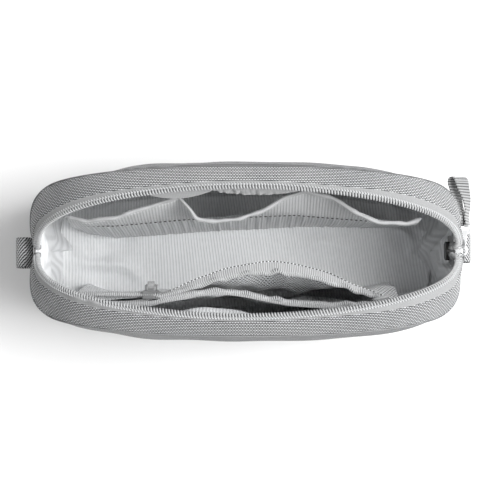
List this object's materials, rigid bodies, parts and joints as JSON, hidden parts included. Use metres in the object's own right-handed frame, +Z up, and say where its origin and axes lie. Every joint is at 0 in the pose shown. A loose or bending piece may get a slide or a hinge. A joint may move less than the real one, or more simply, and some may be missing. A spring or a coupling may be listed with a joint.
{
  "type": "cable organizer pouch",
  "caption": "Soft zip-top pouch that stands open, with a bound pocket row, a zipped mesh pocket, a slip pocket and side loops.",
  "frame": {"origin": "on the floor under the middle of the base panel", "axes": "+X along the mouth towards the parked main slider, +Y from the front panel to the back panel, +Z up"},
  "size_m": [0.231, 0.0937, 0.1281],
  "materials": {
    "outer_fabric": "two-tone heather woven polyester",
    "band_fabric": "coarser woven polyester",
    "zip_tape": "flat woven tape",
    "zip_coil": "nylon coil",
    "zip_stop": "stitched stop",
    "foam": "laminated padding, hidden",
    "lining_fabric": "fine ribbed nylon lining",
    "organizer_fabric": "fine ribbed nylon lining",
    "binding": "soft folded binding",
    "mesh": "knitted mesh",
    "webbing": "twill webbing",
    "grosgrain": "ribbed grosgrain ribbon",
    "slider_metal": "dark gunmetal",
    "bright_metal": "polished"
  },
  "bodies": {
    "pouch": {"base_panel": "outer_fabric", "front_panel": "outer_fabric", "back_panel": "outer_fabric", "back_pocket_panel": "outer_fabric", "left_gusset": "outer_fabric", "right_gusset": "outer_fabric", "front_band": "band_fabric", "rear_band": "band_fabric", "front_zip_tape": "zip_tape", "rear_zip_tape": "zip_tape", "zip_end_tapes": "zip_tape", "mesh_zip_ends": "zip_tape", "front_zip_teeth": "zip_coil", "rear_zip_teeth": "zip_coil", "mesh_teeth_inner": "zip_coil", "mesh_teeth_outer": "zip_coil", "zip_bottom_stop": "zip_stop", "zip_top_stops": "zip_stop", "front_foam": "foam", "back_foam": "foam", "base_foam": "foam", "front_lining": "lining_fabric", "rear_lining": "lining_fabric", "left_lining": "lining_fabric", "right_lining": "lining_fabric", "floor_lining": "lining_fabric", "slip_divider": "lining_fabric", "mesh_tape_inner": "lining_fabric", "mesh_tape_outer": "lining_fabric", "organizer_panel": "organizer_fabric", "organizer_binding": "binding", "mesh_panel": "mesh"},
    "main_slider": {"main_slider_body": "slider_metal", "main_slider_crown": "bright_metal"},
    "main_pull": {"main_pull_link": "bright_metal"},
    "ribbon": {"ribbon_pull": "grosgrain"},
    "left_strap": {"left_loop": "webbing"},
    "right_strap": {"right_loop": "webbing"},
    "mesh_slider": {"mesh_slider_body": "slider_metal", "mesh_slider_crown": "bright_metal"},
    "mesh_pull": {"mesh_pull_tab": "bright_metal"}
  },
  "joints": [
    {"name": "main_slider_travel", "type": "slide", "parent": "pouch", "child": "main_slider", "axis": [0, 0, 1], "range_m": [0, 0.0075]},
    {"name": "main_pull_swing", "type": "hinge", "parent": "main_slider", "child": "main_pull", "pos_m": [0.1092, 0, 0.0738], "axis": [0, 0, 1], "range_deg": [-164, 0]},
    {"name": "ribbon_swing", "type": "hinge", "parent": "main_pull", "child": "ribbon", "pos_m": [0.11103, 0.01302, 0.0738], "axis": [0.9903, -0.1392, 0], "range_deg": [-12, 40]},
    {"name": "left_loop_flex", "type": "hinge", "parent": "pouch", "child": "left_strap", "pos_m": [-0.108, -0.001, 0.074], "axis": [0, 1, 0], "range_deg": [-35, 35]},
    {"name": "right_loop_flex", "type": "hinge", "parent": "pouch", "child": "right_strap", "pos_m": [0.108, 0.0015, 0.057], "axis": [0, 1, 0], "range_deg": [-35, 35]},
    {"name": "mesh_slider_travel", "type": "slide", "parent": "pouch", "child": "mesh_slider", "axis": [1, 0, 0], "range_m": [-0.03, 0.004]},
    {"name": "mesh_pull_swing", "type": "hinge", "parent": "mesh_slider", "child": "mesh_pull", "pos_m": [-0.046, -0.01685, 0.103], "axis": [1, 0, 0], "range_deg": [0, 150]}
  ]
}
